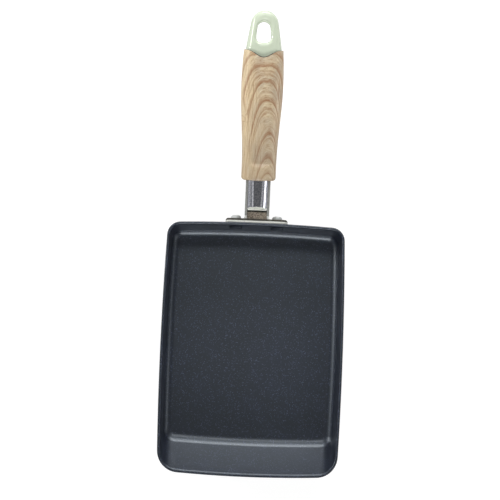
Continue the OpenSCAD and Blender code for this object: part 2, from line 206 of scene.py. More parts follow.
def sheetMetal(name, dark, light, roughness, gritMm, bump=0.02, cloudMm=2.5, metallic=1.0):
    # Rolled or turned metal: small cloudy changes of tone and a fine grit
    material, tree, shader, place = newMaterial(name, {"Metallic": metallic})
    tone = ramp(tree, noise(tree, place, cloudMm, 4, 0.6), ((0.3, dark), (0.7, light)))
    tree.links.new(tone, shader.inputs["Base Color"])
    grit = noise(tree, place, gritMm, 3)
    tree.links.new(remap(tree, grit, 0.3, 0.7, roughness * 0.8, roughness * 1.25), shader.inputs["Roughness"])
    addBump(tree, shader, grit, bump * mm, 0.5)
    return material


def cutSteel(name, dark, light, metallic):
    # Ground edge of sheet steel, fine enough to scatter the light that falls on it
    material, tree, shader, place = newMaterial(name, {"Metallic": metallic, "Roughness": 0.42})
    tone = ramp(tree, noise(tree, place, 1.2, 3, 0.6), ((0.3, dark), (0.7, light)))
    tree.links.new(tone, shader.inputs["Base Color"])
    addBump(tree, shader, noise(tree, place, 0.4, 2), 0.03 * mm, 0.5)
    return material


def roughSkin(name, dark, mid, light, speckMm, metallic=0.5):
    # A speckled rough skin: cast steel with brown heat tint, and torn sheet edges; its dark versions also stand in as
    # painted shade, under the sleeve's lip and along the grip's far end
    material, tree, shader, place = newMaterial(name, {"Metallic": metallic, "Roughness": 0.6})
    speck = noise(tree, place, speckMm, 4, 0.7)
    tree.links.new(ramp(tree, speck, ((0.34, dark), (0.5, mid), (0.64, light))), shader.inputs["Base Color"])
    addBump(tree, shader, speck, 0.25 * mm, 0.8)
    return material


# The handle's axis: its root on the backing plate and its slope
handleSet = {"rootY": 85.38, "rootZ": 22.0, "slope": 15.0}


def handleCoordinates(tree, place):
    # Object coordinates turned into millimetres across, along and above the handle's axis
    slope = math.radians(handleSet["slope"])
    y, z = handleSet["rootY"], handleSet["rootZ"]
    mapping = addNode(tree, "ShaderNodeMapping", {"Scale": (1 / mm,) * 3, "Rotation": (-slope, 0, 0),
                      "Location": (0, -y * math.cos(slope) - z * math.sin(slope),
                                   y * math.sin(slope) - z * math.cos(slope))}, {"Vector": place})
    split = addNode(tree, "ShaderNodeSeparateXYZ", links={"Vector": mapping.outputs[0]})
    return split.outputs["X"], split.outputs["Y"], split.outputs["Z"]


woodSet = {
    # Annual rings: where each one's arch crosses the top, in mm along the handle, how far it fades and its strength
    "farRings": ((127.3, 3.0, 0.8), (117.6, 3.6, 1.0), (114.3, 1.0, 0.5), (111.5, 1.6, 0.55), (106.2, 3.0, 1.0),
                 (99.0, 1.5, 0.35), (92.4, 4.6, 1.0)),
    "nearRings": ((86.3, 2.0, 0.7), (83.8, 1.6, 0.55), (73.7, 1.5, 0.35), (68.2, 3.2, 1.0), (64.9, 1.2, 0.65),
                  (50.5, 5.0, 0.9), (38.8, 4.0, 0.65)),
    "light": "#dcc8a6",
    "grey": "#c6b49a",
    "dark": "#a06f4a",
    "pore": "#8a6748",
    "fleck": "#ece2c9",
}


def archLevel(tree, girth, along):
    # A ring's level is where its arch crosses the top; towards the pan the arches drift right and narrow
    level = along
    for share in (0.7, 0.5, 0.5, 0.5, 0.5, 0.5):
        centre = remap(tree, level, 68.0, 118.0, 6.6, 1.9)
        width = calc(tree, "ADD", remap(tree, level, 68.0, 106.8, 2.0, 4.4), remap(tree, level, 106.8, 130.0, 0.0, 4.9))
        away = calc(tree, "DIVIDE", calc(tree, "ABSOLUTE", calc(tree, "SUBTRACT", girth, centre)), width)
        back = calc(tree, "MINIMUM", calc(tree, "POWER", away, remap(tree, level, 68.0, 118.0, 2.0, 3.6)), 90.0)
        reached = calc(tree, "MULTIPLY", calc(tree, "ADD", along, back), share)
        level = calc(tree, "ADD", calc(tree, "MULTIPLY", level, 1 - share), reached)
    return level


def ringTone(tree, level, rings):
    # Each ring starts sharply on its inner side and fades outwards
    low, high = 30.0, 135.0
    stops = [(0.0, 0.0)]
    for at, width, strength in sorted(rings):
        stops += [((edge - low) / (high - low), value) for edge, value in ((at - 1.1, 0.0), (at, strength), (at + width, 0.0))]
    return ramp(tree, calc(tree, "DIVIDE", calc(tree, "SUBTRACT", level, low), high - low), stops)


def woodPrint():
    # Wood grain printed round phenolic resin, under a satin lacquer: arches on top, straight grain at the sides
    s = woodSet
    material, tree, shader, place = newMaterial("woodPrint", {"IOR": 1.5, "Roughness": 0.4})
    across, along, up = handleCoordinates(tree, place)
    # Distance round the section from the middle of the top
    fall = calc(tree, "SUBTRACT", 10.5, calc(tree, "ABSOLUTE", up))
    wrap = calc(tree, "MULTIPLY", calc(tree, "MULTIPLY", fall, fall), 0.055)
    girth = calc(tree, "ADD", across, calc(tree, "MULTIPLY", calc(tree, "SIGN", across), wrap))
    girth = calc(tree, "ADD", girth, calc(tree, "MULTIPLY", calc(tree, "SUBTRACT", noise(tree, place, 16, 2), 0.5), 1.0))
    level = archLevel(tree, girth, along)
    steep = remap(tree, calc(tree, "SUBTRACT", level, along), 1.5, 7.0)
    level = calc(tree, "ADD", level, calc(tree, "MULTIPLY", calc(tree, "SUBTRACT", noise(tree, place, 3.0, 3, 0.6), 0.5), 1.8))
    ring = calc(tree, "MAXIMUM", ringTone(tree, level, s["farRings"]), ringTone(tree, level, s["nearRings"]))
    ring = calc(tree, "MULTIPLY", ring, remap(tree, calc(tree, "SUBTRACT", level, along), 16.0, 45.0, 1.0, 0.3))
    # Grain: short flecks that follow the arches on top, and long lines along the flanks
    arched = stretched(tree, level, 1.1, girth, 4.0)
    straight = stretched(tree, girth, 0.75, along, 16.0)
    grain = calc(tree, "ADD", calc(tree, "MULTIPLY", arched, calc(tree, "SUBTRACT", 1.0, steep)), calc(tree, "MULTIPLY", straight, steep))
    tone = blendColours(tree, remap(tree, noise(tree, place, 13, 3), 0.38, 0.62), linear(s["light"]), linear(s["grey"]))
    # Painted light: the left flank is made lighter and yellower, as lit from the left
    tone = blendColours(tree, remap(tree, across, -2.0, -11.0, 0.0, 0.75), tone, linear("#ecd5ab"))
    tone = blendColours(tree, remap(tree, grain, 0.44, 0.3, 0.0, 0.75), tone, linear(s["fleck"]))
    tone = blendColours(tree, remap(tree, grain, 0.52, 0.68, 0.0, 0.6), tone, linear(s["dark"]))
    tone = blendColours(tree, calc(tree, "MULTIPLY", ring, remap(tree, grain, 0.3, 0.6, 0.6, 1.0)), tone, linear(s["dark"]))
    pores = stretched(tree, girth, 0.6, along, 1.8)
    tone = blendColours(tree, remap(tree, pores, 0.58, 0.72, 0.0, 0.5), tone, linear(s["pore"]))
    # The print is browner towards the pan
    tone = blendColours(tree, remap(tree, along, 78.0, 45.0, 0.0, 0.3), tone, linear("#9c8870"))
    tree.links.new(tone, shader.inputs["Base Color"])
    addBump(tree, shader, pores, 0.03 * mm, 0.4)
    return material


def greenPlastic():
    # Glossy moulded plastic, with the faint waviness of a moulded skin
    material, tree, shader, place = newMaterial("greenPlastic", {"IOR": 1.5, "Roughness": 0.11})
    tone = ramp(tree, noise(tree, place, 18), ((0.3, "#d7e2cb"), (0.7, "#dbe6cf")))
    tree.links.new(tone, shader.inputs["Base Color"])
    addBump(tree, shader, noise(tree, place, 5), 0.04 * mm, 0.15)
    return material


finishes = {
    "coating": nonStickCoating(),
    "enamel": blackEnamel(),
    "plate": sheetMetal("brightSteel", "#c6cbc2", "#dadfd6", 0.25, 0.4),
    "bracket": sheetMetal("pickledSteel", "#8d8b84", "#b1aea6", 0.3, 0.35, 0.05),
    "cut": cutSteel("cutSteel", "#9a9b97", "#b4b5b1", 0.35),
    "faced": cutSteel("facedSteel", "#d3d5cd", "#e8e9e2", 0.1),
    "buffed": cutSteel("buffedSteel", "#eceee5", "#fbfcf5", 0.05),
    # Torn-steel finish, also used as painted shade on the screw block under the sleeve
    "sheared": roughSkin("shearedSteel", "#2b2a26", "#46443e", "#6e6b62", 0.7),
    "rivet": sheetMetal("turnedAluminium", "#b9bcbb", "#d2d4d3", 0.5, 0.5, metallic=0.3),
    "block": roughSkin("castSteel", "#71675d", "#c4b6a6", "#eee2d3", 0.8),
    "sleeve": sheetMetal("polishedSteel", "#b2b4be", "#eeeff4", 0.08, 0.9, 0.012, cloudMm=1.1),
    "grip": woodPrint(),
    # Near-black resin used as painted shade, for the thin shadow line at the grip's far end
    "resin": roughSkin("darkResin", "#2a221b", "#3a3027", "#4a3f35", 1.5, 0.0),
    "loop": greenPlastic(),
    "screw": sheetMetal("zincPlate", "#a9abad", "#c2c4c6", 0.3, 0.4),
}
print("materials made")


# Modelling helpers

def clearSelection():
    if bpy.context.mode != "OBJECT":
        bpy.ops.object.mode_set(mode="OBJECT")
    bpy.ops.object.select_all(action="DESELECT")


def startPiece(name):
    # Names the primitive just added, puts its place into its mesh and goes into edit mode
    piece = bpy.context.active_object
    piece.name = name
    piece.data.name = name
    bpy.ops.object.transform_apply(location=True, rotation=True, scale=True)
    bpy.ops.object.mode_set(mode="EDIT")
    return piece


def pick(piece, kind, test):
    # In edit mode, selects only the verts, edges or faces that pass the test
    bpy.ops.mesh.select_mode(type={"verts": "VERT", "edges": "EDGE", "faces": "FACE"}[kind])
    bpy.ops.mesh.select_all(action="DESELECT")
    mesh = bmesh.from_edit_mesh(piece.data)
    for part in getattr(mesh, kind):
        if test(part):
            part.select_set(True)
    mesh.select_flush_mode()
    bmesh.update_edit_mesh(piece.data)


def near(value, target, reach=0.01):
    return abs(value - target) < reach * mm


def middle(edge):
    return (edge.verts[0].co + edge.verts[1].co) / 2


def applyModifier(piece, kind, **settings):
    modifier = piece.modifiers.new(kind.lower(), kind)
    for key, value in settings.items():
        setattr(modifier, key, value)
    bpy.ops.object.modifier_apply(modifier=modifier.name)


def cleanMesh(piece):
    # Merges doubles and turns the faces outwards
    bpy.ops.object.mode_set(mode="EDIT")
    bpy.ops.mesh.select_all(action="SELECT")
    bpy.ops.mesh.remove_doubles(threshold=0.005 * mm)
    bpy.ops.mesh.normals_make_consistent(inside=False)
    bpy.ops.object.mode_set(mode="OBJECT")


def finishPiece(piece, node, slot, *materials, smooth=35):
    bpy.ops.object.shade_smooth_by_angle(angle=math.radians(smooth))
    for material in materials:
        piece.data.materials.append(material)
    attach(piece, "root")
    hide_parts(node)


def extrudeSections(piece, sections):
    # From the face in hand along +Y: each section says where it lies, and its half width, top and low
    at, width, top, low = sections[0]
    for nextAt, nextWidth, nextTop, nextLow in sections[1:]:
        bpy.ops.mesh.extrude_region_move(TRANSFORM_OT_translate={"value": (0, (nextAt - at) * mm, 0)})
        sizeSection(piece, nextAt, nextWidth / width, nextTop / top, nextLow / low)
        at, width, top, low = nextAt, nextWidth, nextTop, nextLow


def sizeSection(piece, at, across, up, down):
    # Scales the section at one place: its width, and its upper and lower halves apart
    centre = (0, at * mm, 0)
    bpy.ops.transform.resize(value=(across, 1, down), center_override=centre)
    pick(piece, "verts", lambda v: near(v.co.y, at * mm) and v.co.z > 0)
    bpy.ops.transform.resize(value=(1, 1, up / down), center_override=centre)
    pick(piece, "faces", lambda f: all(near(v.co.y, at * mm) for v in f.verts))


def onHandle(piece):
    # From the handle's own frame, with +Y along its axis, to its place behind the wall plate
    bpy.ops.object.mode_set(mode="OBJECT")
    piece.rotation_euler.x = math.radians(handleSet["slope"])
    piece.location = (0, handleSet["rootY"] * mm, handleSet["rootZ"] * mm)
    bpy.ops.object.transform_apply(location=True, rotation=True, scale=True)


def lerp(a, b, t):
    return a + (b - a) * t


def clamp01(t):
    return min(1, max(0, t))


def ease(t):
    t = clamp01(t)
    return t * t * (3 - 2 * t)


# Pan: a pressed tray, from an outline at the foot and one above the rim
panSet = {
    "sideBow": 1.2,             # mm that the long sides and the ends swell in their middle
    "endBow": 1.35,
    "sideLean": 2.0,            # degrees from upright
    "frontLean": 35.0,
    "backCorner": (10.0, 10.2),  # radius at the foot and at the rim
    "frontCorner": (10.4, 16.1),
    "footRadius": 8.3,          # outside, between the floor and the steep walls
    "frontFootRadius": 10.3,
    "wall": 2.0,
    "floor": 2.6,
    "rimRadius": 0.85,
    "trim": 4.0,                # height that is trimmed off above the rim
    "cornerSteps": 10,
    "sideCuts": 9,
}


def panOutline(pan, z, low, high):
    # A rounded rectangle at height z, with its straight sides swollen
    s = panSet
    drop = high.z / mm - z
    side = high.x / mm - s["sideBow"] - drop * math.tan(math.radians(s["sideLean"]))
    back = high.y / mm - s["endBow"] - drop * math.tan(math.radians(s["sideLean"]))
    front = low.y / mm + s["endBow"] + drop * math.tan(math.radians(s["frontLean"]))
    share = 1 - drop / (high.z / mm)
    cy = (back + front) / 2
    bpy.ops.mesh.select_all(action="DESELECT")
    bpy.ops.mesh.primitive_plane_add(size=2 * mm, location=(0, cy * mm, z * mm))
    bpy.ops.transform.resize(value=(side, (back - front) / 2, 1), center_override=(0, cy * mm, z * mm))
    bpy.ops.mesh.delete(type="ONLY_FACE")
    radii = []
    for end, corner in ((back, s["backCorner"]), (front, s["frontCorner"])):
        radius = lerp(*corner, share)
        radii.append(radius)
        pick(pan, "verts", lambda v: near(v.co.z, z * mm) and near(v.co.y, end * mm))
        bpy.ops.mesh.bevel(affect="VERTICES", offset=radius * mm, segments=s["cornerSteps"], clamp_overlap=False)
    pick(pan, "edges", lambda e: all(near(v.co.z, z * mm) for v in e.verts) and e.calc_length() > 30 * mm)
    bpy.ops.mesh.subdivide(number_cuts=s["sideCuts"])
    middleY = (back - radii[0] + front + radii[1]) / 2
    halfSide = (back - radii[0] - front - radii[1]) / 2
    for x, y, moveX, moveY, reach in ((side, middleY, s["sideBow"], 0, halfSide),
                                      (-side, middleY, -s["sideBow"], 0, halfSide),
                                      (0, back, 0, s["endBow"], side - radii[0]),
                                      (0, front, 0, -s["endBow"], side - radii[1])):
        pick(pan, "verts", lambda v: (v.co - Vector((x, y, z)) * mm).length < 0.5 * mm)
        bpy.ops.transform.translate(value=(moveX * mm, moveY * mm, 0), use_proportional_edit=True,
                                    use_proportional_connected=True, proportional_size=reach * mm,
                                    proportional_edit_falloff="INVERSE_SQUARE")


def makePan():
    s = panSet
    low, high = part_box("pan_body")
    clearSelection()
    bpy.ops.mesh.primitive_plane_add(size=2 * mm)
    pan = startPiece("pan")
    bpy.ops.mesh.delete(type="VERT")
    panOutline(pan, 0, low, high)
    panOutline(pan, high.z / mm + s["trim"], low, high)
    bpy.ops.mesh.select_mode(type="EDGE")
    bpy.ops.mesh.select_all(action="SELECT")
    bpy.ops.mesh.bridge_edge_loops()
    pick(pan, "verts", lambda v: v.co.z < 0.01 * mm)
    bpy.ops.mesh.select_mode(type="EDGE")
    bpy.ops.mesh.edge_face_add()
    bpy.ops.object.mode_set(mode="OBJECT")
    cleanMesh(pan)
    # The floor's edge is rounded by how far the walls turn there: less on the sloping end
    offset = s["footRadius"] * math.tan(math.radians(45 - s["sideLean"] / 2))
    frontOffset = s["frontFootRadius"] * math.tan(math.radians(45 - s["frontLean"] / 2))
    weights = pan.data.attributes.new("bevel_weight_edge", "FLOAT", "EDGE")
    for edge in pan.data.edges:
        a, b = (pan.data.vertices[i].co for i in edge.vertices)
        if a.z < 0.01 * mm and b.z < 0.01 * mm:
            facing = abs(b.x - a.x) / (b - a).length if a.y < 0 else 0
            weights.data[edge.index].value = lerp(1, frontOffset / offset, facing)
    applyModifier(pan, "BEVEL", width=offset * mm, segments=9, limit_method="WEIGHT", use_clamp_overlap=False)
    group = pan.vertex_groups.new(name="thickness")
    for vertex in pan.data.vertices:
        rise = clamp01(vertex.co.z / (s["footRadius"] * mm))
        group.add([vertex.index], lerp(1, s["wall"] / s["floor"], ease(rise)), "REPLACE")
    for finish in ("enamel", "coating"):
        pan.data.materials.append(finishes[finish])
    applyModifier(pan, "SOLIDIFY", thickness=s["floor"] * mm, offset=-1, use_even_offset=True, vertex_group="thickness",
                  material_offset=1)
    bpy.ops.object.mode_set(mode="EDIT")
    bpy.ops.mesh.select_all(action="SELECT")
    bpy.ops.mesh.bisect(plane_co=(0, 0, high.z), plane_no=(0, 0, 1), clear_outer=True)
    pick(pan, "edges", lambda e: e.is_boundary)
    bpy.ops.mesh.bridge_edge_loops()
    pick(pan, "edges", lambda e: near(middle(e).z, high.z) and e.is_manifold and e.calc_face_angle() > 0.8)
    bpy.ops.mesh.bevel(affect="EDGES", offset=s["rimRadius"] * mm, segments=5, clamp_overlap=False)
    pick(pan, "faces", lambda f: f.calc_area() > 4000 * mm * mm)
    bpy.ops.mesh.inset(thickness=0.8 * mm)
    cleanMesh(pan)
    pan.vertex_groups.clear()
    finishPiece(pan, "pan_body", "non_stick_aluminium")
    applyModifier(pan, "WEIGHTED_NORMAL", keep_sharp=True)
    return pan


makePan()
print("pan made")


# Grip: a moulded bar, swelling to the hand, with a thumb notch and a mouth for the channel
gripSet = {
    "start": 32.9,          # mm along the handle from the wall plate
    "end": 129.3,
    "neckWidth": 25.8,
    "maxWidth": 31.2,
    "crease": 46.3,         # where the thumb notch is deepest
    "creaseHalf": 6.0,
    "thumbDip": 0.15,
    "notchDepth": 1.8,      # the notch's further depth in the middle, and how far that reaches
    "notchReach": 8.5,
    "notchAside": 1.5,
    "mouthRadius": 2.0,
    "shoulderRadius": 0.4,
    "endDepth": 2.0,        # how far down the end's face stays square to the surface
    "waveDepth": 5.4,
    "waveReach": 12.6,
    "cornerShare": 0.83,    # how much of each half side the section's corners take
    "cornerSteps": 7,
    "stations": (36, 38.7, 41.2, 43.7, 45.5, 46.3, 47.1, 50, 54, 60, 67, 74, 81, 88, 95, 102, 109, 114.5, 119, 123, 126.5),
    "pocket": {"halfWidth": 9.4, "top": 8.8, "low": -8.5, "depth": 6.0},
}


def gripSection(at):
    # Half width, and heights of the top and the underside, at one place along the grip
    s = gripSet
    width = lerp(s["neckWidth"], s["maxWidth"], ease((at - 46) / 57)) / 2 - 1.0 * max(0, (at - 104) / 25) ** 2
    before = clamp01((at - s["crease"] + 6) / 6)
    after = 1 - clamp01((at - s["crease"]) / 32)
    dip = s["thumbDip"] * (before if at < s["crease"] else after) ** 2
    swell, fall = ease((at - 47) / 48), clamp01((at - 95) / 38) ** 2
    top = 10.5 + 0.9 * swell - 2.1 * fall - dip
    low = 10.2 + 1.5 * swell - 2.6 * fall
    return at, width, top, low


def makeGrip():
    s = gripSet
    clearSelection()
    start = s["start"]
    bpy.ops.mesh.primitive_plane_add(size=2, location=(0, start * mm, 0), rotation=(math.radians(-90), 0, 0))
    grip = startPiece("gripBar")
    bpy.ops.mesh.bevel(affect="VERTICES", offset=s["cornerShare"], segments=s["cornerSteps"])
    bpy.ops.mesh.delete(type="ONLY_FACE")
    pick(grip, "edges", lambda e: e.calc_length() > 1 - s["cornerShare"])
    bpy.ops.mesh.subdivide(number_cuts=1)
    bpy.ops.mesh.select_all(action="SELECT")
    bpy.ops.mesh.edge_face_add()
    at, width, top, low = first = gripSection(start)
    bpy.ops.transform.resize(value=(width * mm, 1, low * mm), center_override=(0, start * mm, 0))
    sizeSection(grip, start, 1, top / low, 1)
    extrudeSections(grip, [first] + [gripSection(u) for u in s["stations"] + (s["end"],)])
    pick(grip, "edges", lambda e: all(near(v.co.y, s["crease"] * mm) and v.co.z > 0 for v in e.verts)
         and abs(middle(e).x - s["notchAside"] * mm) < s["creaseHalf"] * mm)
    bpy.ops.transform.edge_crease(value=0.9)
    # The notch is deepest in the middle, on the side away from the pan
    pick(grip, "verts", lambda v: v.co.y < (s["crease"] - 1.5) * mm)
    bpy.ops.mesh.hide()
    pick(grip, "verts", lambda v: near(v.co.y, s["crease"] * mm) and v.co.z > 0
         and abs(v.co.x - s["notchAside"] * mm) < 3.6 * mm)
    bpy.ops.transform.translate(value=(0, 0, -s["notchDepth"] * mm), use_proportional_edit=True,
                                proportional_size=s["notchReach"] * mm, proportional_edit_falloff="SMOOTH")
    bpy.ops.mesh.reveal(select=False)
    for place, radius in ((s["start"], s["mouthRadius"]), (s["end"], s["shoulderRadius"])):
        pick(grip, "faces", lambda f: len(f.verts) > 8 and near(f.calc_center_median().y, place * mm))
        bpy.ops.mesh.region_to_loop()
        bpy.ops.mesh.bevel(affect="EDGES", offset=radius * mm, segments=4, clamp_overlap=False)
    # The far end dips in a wave, above and below, for the loop's tongue
    for side in (1, -1):
        pick(grip, "verts", lambda v: v.co.y > (s["end"] - 2 * s["shoulderRadius"]) * mm and v.co.z * side > 0
             and abs(v.co.x) < 1 * mm)
        bpy.ops.transform.translate(value=(0, -s["waveDepth"] * mm, 0), use_proportional_edit=True,
                                    proportional_size=s["waveReach"] * mm, proportional_edit_falloff="SMOOTH")
    pick(grip, "faces", lambda f: len(f.verts) > 8 and f.calc_center_median().y > (s["end"] - 6) * mm)
    bpy.ops.mesh.inset(thickness=s["endDepth"] * mm)
    cleanMesh(grip)
    applyModifier(grip, "SUBSURF", levels=2, render_levels=2)
    cutPocket(grip)
    onHandle(grip)
    cleanMesh(grip)
    finishPiece(grip, "grip", "wood_look_resin", finishes["grip"], finishes["resin"])
    # Painted shade: the far end's face takes the near-black resin, as the thin shadow line along the wave where the
    # loop enters
    for face in grip.data.polygons:
        face.material_index = int(face.normal.y > 0.45 and face.center.y > 202 * mm)
    return grip


def cutPocket(grip):
    # The mouth that the channel and the sleeve enter, cut with a rounded block
    p = gripSet["pocket"]
    clearSelection()
    start = gripSet["start"]
    bpy.ops.mesh.primitive_cube_add(size=1 * mm, location=(0, start * mm, (p["top"] + p["low"]) / 2 * mm),
                                    scale=(2 * p["halfWidth"], 2 * p["depth"], p["top"] - p["low"]))
    cutter = startPiece("cutter")
    for side, radius in ((1, 4.2), (-1, 2.9)):
        pick(cutter, "edges", lambda e: abs(e.verts[0].co.y - e.verts[1].co.y) > p["depth"] * mm and middle(e).z * side > 0)
        bpy.ops.mesh.bevel(affect="EDGES", offset=radius * mm, segments=8)
    bpy.ops.object.mode_set(mode="OBJECT")
    bpy.context.view_layer.objects.active = grip
    applyModifier(grip, "BOOLEAN", operation="DIFFERENCE", object=cutter, solver="EXACT")
    bpy.data.objects.remove(cutter)
    clearSelection()
    grip.select_set(True)


# Hanging loop: an outline laid on the parting plane, raised and inset to the slot, then mirrored
loopSet = {
    "end": 158.2,           # mm along the handle
    "join": 129.4,          # below this the sides no longer widen
    "base": 116.0,          # hidden inside the grip
    "endHalfWidth": 8.59,   # where the tapering sides would reach the end
    "taper": 9.8,           # degrees
    "baseCorner": 10.0,
    "height": 8.6,
    "endHeight": 5.4,
    "slotTop": 149.7,
    "slotLow": 134.6,
    "slotAside": -0.5,
    "cornerSteps": 7,
    # Up the outside and in over the top: inset, then rise as a share of the height
    "profile": ((0.0, 0.3), (0.7, 0.24), (1.2, 0.19), (1.2, 0.12), (0.9, 0.06)),
    "lip": 2.0,
    "slotLowScale": 0.8,
    "slotTopScale": 1.1,
}


def makeLoop():
    s = loopSet
    clearSelection()
    length = s["end"] - s["join"]
    centre = (0, (s["end"] + s["join"]) / 2 * mm, 0)
    baseHalf = s["endHalfWidth"] + length * math.tan(math.radians(s["taper"]))
    bpy.ops.mesh.primitive_plane_add(size=2 * mm, location=centre)
    loop = startPiece("loop")
    bpy.ops.transform.resize(value=(baseHalf, length / 2, 1), center_override=centre)
    pick(loop, "verts", lambda v: v.co.y > centre[1])
    bpy.ops.transform.resize(value=(s["endHalfWidth"] / baseHalf, 1, 1), center_override=centre)
    bpy.ops.mesh.bevel(affect="VERTICES", offset=s["endHalfWidth"] * 0.995 * mm, segments=s["cornerSteps"])
    pick(loop, "edges", lambda e: near(middle(e).y, s["join"] * mm))
    bpy.ops.mesh.extrude_edges_move(TRANSFORM_OT_translate={"value": (0, (s["base"] - s["join"]) * mm, 0)})
    bpy.ops.transform.resize(value=(0.88, 1, 1), center_override=centre)
    pick(loop, "edges", lambda e: near(middle(e).y, s["join"] * mm))
    bpy.ops.mesh.dissolve_edges(use_verts=False)
    pick(loop, "verts", lambda v: near(v.co.y, s["base"] * mm))
    bpy.ops.mesh.bevel(affect="VERTICES", offset=s["baseCorner"] * mm, segments=s["cornerSteps"])
    bpy.ops.mesh.select_all(action="SELECT")
    bpy.ops.mesh.remove_doubles(threshold=0.3 * mm)
    bpy.ops.mesh.select_all(action="SELECT")
    bpy.ops.mesh.select_mode(type="FACE")
    rise, inset = 0.0, 0.0
    for step, climb in s["profile"]:
        if step == 0:
            bpy.ops.mesh.extrude_region_move(TRANSFORM_OT_translate={"value": (0, 0, climb * s["height"] * mm)})
        else:
            bpy.ops.mesh.inset(thickness=step * mm, depth=climb * s["height"] * mm)
        rise += climb
        inset += step
    # The inner ring's two ends move in to the slot, and the lower one leaves the tongue behind
    top = rise * s["height"] * mm
    innerLow, innerTop = s["base"] + inset, s["end"] - inset
    pick(loop, "verts", lambda v: near(v.co.z, top) and v.co.y < (s["join"] + 4) * mm)
    bpy.ops.transform.translate(value=(s["slotAside"] * mm, (s["slotLow"] - s["lip"] - innerLow) * mm, 0))
    bpy.ops.transform.resize(value=(s["slotLowScale"], 0.66, 1), center_override=(0, (s["slotLow"] - s["lip"]) * mm, 0))
    pick(loop, "verts", lambda v: near(v.co.z, top) and v.co.y > (s["slotTop"] + s["slotLow"]) / 2 * mm)
    bpy.ops.transform.translate(value=(s["slotAside"] * mm, (s["slotTop"] + s["lip"] - innerTop) * mm, 0))
    bpy.ops.transform.resize(value=(s["slotTopScale"], 1, 1), center_override=(0, s["slotTop"] * mm, 0))
    pick(loop, "faces", lambda f: all(near(v.co.z, top) for v in f.verts) and len(f.verts) > 8)
    bpy.ops.mesh.inset(thickness=s["lip"] * 0.3 * mm, depth=-0.05 * s["lip"] * mm)
    bpy.ops.mesh.inset(thickness=s["lip"] * 0.5 * mm, depth=-0.4 * s["lip"] * mm)
    bpy.ops.mesh.inset(thickness=s["lip"] * 0.2 * mm, depth=-0.6 * s["lip"] * mm)
    bpy.ops.mesh.extrude_region_move(TRANSFORM_OT_translate={"value": (0, 0, -(top / mm - 1.05 * s["lip"]) * mm)})
    bpy.ops.mesh.delete(type="FACE")
    pick(loop, "faces", lambda f: len(f.verts) > 8 and abs(f.calc_center_median().z) < 0.01 * mm)
    bpy.ops.mesh.delete(type="FACE")
    # The end is thinner than the part that enters the grip
    pick(loop, "verts", lambda v: v.co.y > (s["end"] - 9) * mm)
    bpy.ops.transform.resize(value=(1, 1, s["endHeight"] / s["height"]), center_override=(0, s["end"] * mm, 0),
                             use_proportional_edit=True, proportional_size=22 * mm,
                             proportional_edit_falloff="SMOOTH")
    bpy.ops.object.mode_set(mode="OBJECT")
    applyModifier(loop, "MIRROR", use_axis=(False, False, True), merge_threshold=0.02 * mm)
    applyModifier(loop, "SUBSURF", levels=3, render_levels=3)
    onHandle(loop)
    cleanMesh(loop)
    finishPiece(loop, "loop_cap", "pale_green_plastic", finishes["loop"], smooth=60)
    return loop


makeGrip()
print("grip made")
makeLoop()
print("loop made")


# Rivets: turned about their own axis, with a flat coated head inside the pan and a dome on the ear
rivetSet = {
    "gap": 31.0,            # mm between the two
    "wallY": 83.88,         # where their axis crosses the pan's outside
    "wallZ": 22.0,
    "lean": 2.0,            # degrees, with the wall
    "sides": 48,
    "head": (9.7, 1.2, 2.0),   # inner head's diameter and thickness, and the pan wall that it sits on
    "shank": 5.0,
    "dome": (7.6, 3.7, 3.3),   # outer head's diameter and height, and the sheets that it holds
    "fullness": 5.0,        # 2 for a round dome, more for a squarer one
}


def makeRivet(name, node, side):
    s = rivetSet
    headD, headT, wall = s["head"]
    domeD, domeH, sheets = s["dome"]
    clearSelection()
    start = -wall - headT
    bpy.ops.mesh.primitive_circle_add(vertices=s["sides"], radius=1 * mm, fill_type="NGON",
                                      location=(0, start * mm, 0), rotation=(math.radians(-90), 0, 0))
    rivet = startPiece(name)
    bpy.ops.mesh.select_all(action="SELECT")
    power = 2 / s["fullness"]
    turns = [(sheets + domeH * math.sin(turn) ** power, max(0.05, domeD / 2 * math.cos(turn) ** power))
             for turn in [math.radians(90 * i / 14) for i in range(2, 14)] + [math.pi / 2]]
    profile = [(start, headD / 2 - 0.5), (start + 0.15, headD / 2 - 0.15), (start + 0.5, headD / 2), (-wall, headD / 2),
               (0.05 - wall, s["shank"] / 2), (sheets, s["shank"] / 2), (sheets + 0.03, domeD / 2 - 0.15),
               (sheets + 0.2, domeD / 2 - 0.01)] + turns
    at, radius = profile[0]
    bpy.ops.transform.resize(value=(radius, 1, radius), center_override=(0, start * mm, 0))
    extrudeSections(rivet, [(at, radius, radius, radius) for at, radius in profile])
    bpy.ops.object.mode_set(mode="OBJECT")
    rivet.rotation_euler.x = math.radians(-s["lean"])
    rivet.location = (side * s["gap"] / 2 * mm, s["wallY"] * mm, s["wallZ"] * mm)
    bpy.ops.object.transform_apply(location=True, rotation=True, scale=True)
    cleanMesh(rivet)
    finishPiece(rivet, node, "rivet_aluminium", finishes["rivet"], finishes["coating"])
    for face in rivet.data.polygons:
        face.material_index = int(face.center.y < (s["wallY"] - wall / 2) * mm)
    return rivet


makeRivet("rivetLeft", "rivet_left", -1)
makeRivet("rivetRight", "rivet_right", 1)
print("rivets made")


# Sheet-metal pieces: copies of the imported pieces, merged and with their sheared edges eased
metalSet = {
    # node: name, finish, slot and radius of the edges in mm
    "wall_plate": ("wallPlate", "plate", "bright_steel", 0.25),
    "bracket": ("bracketChannel", "bracket", "raw_steel", 0.15),
    "screw_block": ("screwBlock", "block", "rough_steel", 0.6),
    "sleeve": ("sleeveTube", "sleeve", "polished_steel", 0.25),
}


